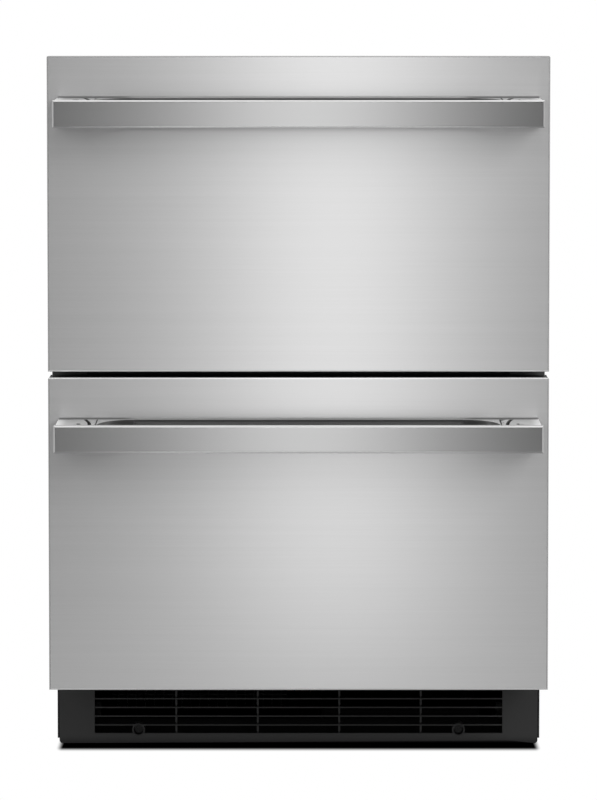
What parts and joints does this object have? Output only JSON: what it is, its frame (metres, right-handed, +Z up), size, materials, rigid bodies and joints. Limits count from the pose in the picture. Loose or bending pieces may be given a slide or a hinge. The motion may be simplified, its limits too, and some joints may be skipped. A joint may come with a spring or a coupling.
{
  "type": "undercounter drawer freezer",
  "caption": "Undercounter freezer with insulated stainless drawer fronts stacked on telescopic slides above a vented toe grille.",
  "frame": {"origin": "on the floor under the middle of the object's bounding box", "axes": "+Z up, -Y towards the user standing in front of the drawers, +X to that user's right"},
  "size_m": [0.606, 0.663, 0.86],
  "materials": {
    "brushed_stainless": "satin",
    "grip_lining": "matte",
    "cabinet_paint": "satin",
    "galvanised_sheet": "matte",
    "pan_black": "matte",
    "insulation": "matte",
    "liner_white": "satin",
    "black_trim": "matte",
    "grille_charcoal": "matte",
    "dark_screw": "satin",
    "zinc_steel": "satin",
    "seal_rubber": "matte",
    "display_glass": "gloss",
    "button_grey": "satin",
    "coil_aluminium": "satin",
    "coil_black": "satin",
    "compressor_black": "satin",
    "copper_line": "satin",
    "box_grey": "matte",
    "leg_black": "matte",
    "bin_plastic": "satin",
    "divider_grey": "satin",
    "tray_plastic": "satin"
  },
  "bodies": {
    "cabinet": {"cabinet_wrapper": "cabinet_paint", "rear_panel": "galvanised_sheet", "bay_roof": "pan_black", "base_pan": "pan_black", "insulation_foam": "insulation", "upper_liner": "liner_white", "lower_liner": "liner_white", "centre_mullion": "black_trim", "toe_grille": "grille_charcoal", "grille_screws": "dark_screw", "rivet_nuts": "zinc_steel", "cord_gland": "black_trim", "control_housing": "black_trim", "display_window": "display_glass", "led_strips": "liner_white", "outer_slides": "zinc_steel", "evaporator_coil": "coil_aluminium", "evaporator_cover": "liner_white", "evaporator_fan_motor": "black_trim", "compressor": "compressor_black", "compressor_grommets": "seal_rubber", "condenser_coil": "coil_black", "fan_shroud": "black_trim", "condenser_fan_motor": "black_trim", "drain_pan": "black_trim", "refrigerant_lines": "copper_line", "electrical_box": "box_grey"},
    "upper_drawer": {"upper_door_skin": "brushed_stainless", "upper_door_inner": "black_trim", "upper_door_foam": "insulation", "upper_gasket": "seal_rubber", "upper_handle_bar": "brushed_stainless", "upper_handle_base": "brushed_stainless", "upper_handle_grip": "grip_lining", "upper_handle_screws": "zinc_steel", "upper_bin": "bin_plastic", "upper_side_runners": "zinc_steel"},
    "upper_mid_slide": {"upper_mid_slides": "zinc_steel"},
    "lower_drawer": {"lower_door_skin": "brushed_stainless", "lower_door_inner": "black_trim", "lower_door_foam": "insulation", "lower_gasket": "seal_rubber", "lower_handle_bar": "brushed_stainless", "lower_handle_base": "brushed_stainless", "lower_handle_grip": "grip_lining", "lower_handle_screws": "zinc_steel", "lower_bin": "bin_plastic", "lower_side_runners": "zinc_steel"},
    "lower_mid_slide": {"lower_mid_slides": "zinc_steel"},
    "bin_divider": {"upper_divider": "divider_grey"},
    "sliding_tray": {"lower_tray": "tray_plastic"},
    "cold_fan": {"evaporator_fan": "liner_white"},
    "warm_fan": {"condenser_fan": "black_trim"},
    "level_leg_front_left": {"leg_front_left": "leg_black"},
    "level_leg_front_right": {"leg_front_right": "leg_black"},
    "level_leg_rear_left": {"leg_rear_left": "leg_black"},
    "level_leg_rear_right": {"leg_rear_right": "leg_black"},
    "key_colder": {"button_colder": "button_grey"},
    "key_warmer": {"button_warmer": "button_grey"},
    "key_light": {"button_light": "button_grey"}
  },
  "joints": [
    {"name": "upper_drawer_slide", "type": "slide", "parent": "cabinet", "child": "upper_drawer", "axis": [0, -1, 0], "range_m": [0, 0.4]},
    {"name": "upper_mid_slide_follow", "type": "slide", "parent": "cabinet", "child": "upper_mid_slide", "axis": [0, -1, 0], "range_m": [0, 0.2]},
    {"name": "lower_drawer_slide", "type": "slide", "parent": "cabinet", "child": "lower_drawer", "axis": [0, -1, 0], "range_m": [0, 0.29]},
    {"name": "lower_mid_slide_follow", "type": "slide", "parent": "cabinet", "child": "lower_mid_slide", "axis": [0, -1, 0], "range_m": [0, 0.145]},
    {"name": "divider_slide", "type": "slide", "parent": "upper_drawer", "child": "bin_divider", "axis": [0, 1, 0], "range_m": [-0.18, 0.18]},
    {"name": "tray_slide", "type": "slide", "parent": "lower_drawer", "child": "sliding_tray", "axis": [0, 1, 0], "range_m": [0, 0.15]},
    {"name": "evaporator_fan_spin", "type": "hinge", "parent": "cabinet", "child": "cold_fan", "pos_m": [0, 0.2615, 0.7275], "axis": [0, 1, 0], "continuous": true},
    {"name": "condenser_fan_spin", "type": "hinge", "parent": "cabinet", "child": "warm_fan", "pos_m": [-0.13, 0.1875, 0.0725], "axis": [0, 1, 0], "continuous": true},
    {"name": "leg_front_left_screw_out", "type": "slide", "parent": "cabinet", "child": "level_leg_front_left", "axis": [0, 0, -1], "range_m": [0, 0.02]},
    {"name": "leg_front_right_screw_out", "type": "slide", "parent": "cabinet", "child": "level_leg_front_right", "axis": [0, 0, -1], "range_m": [0, 0.02]},
    {"name": "leg_rear_left_screw_out", "type": "slide", "parent": "cabinet", "child": "level_leg_rear_left", "axis": [0, 0, -1], "range_m": [0, 0.02]},
    {"name": "leg_rear_right_screw_out", "type": "slide", "parent": "cabinet", "child": "level_leg_rear_right", "axis": [0, 0, -1], "range_m": [0, 0.02]},
    {"name": "button_colder_press", "type": "slide", "parent": "cabinet", "child": "key_colder", "axis": [0, 1, 0], "range_m": [0, 0.001], "stiffness_N_per_m": 300},
    {"name": "button_warmer_press", "type": "slide", "parent": "cabinet", "child": "key_warmer", "axis": [0, 1, 0], "range_m": [0, 0.001], "stiffness_N_per_m": 300},
    {"name": "button_light_press", "type": "slide", "parent": "cabinet", "child": "key_light", "axis": [0, 1, 0], "range_m": [0, 0.001], "stiffness_N_per_m": 300}
  ],
  "couplings": [
    {"joint": "upper_mid_slide_follow", "follows": "upper_drawer_slide", "ratio": 0.5},
    {"joint": "lower_mid_slide_follow", "follows": "lower_drawer_slide", "ratio": 0.5}
  ]
}
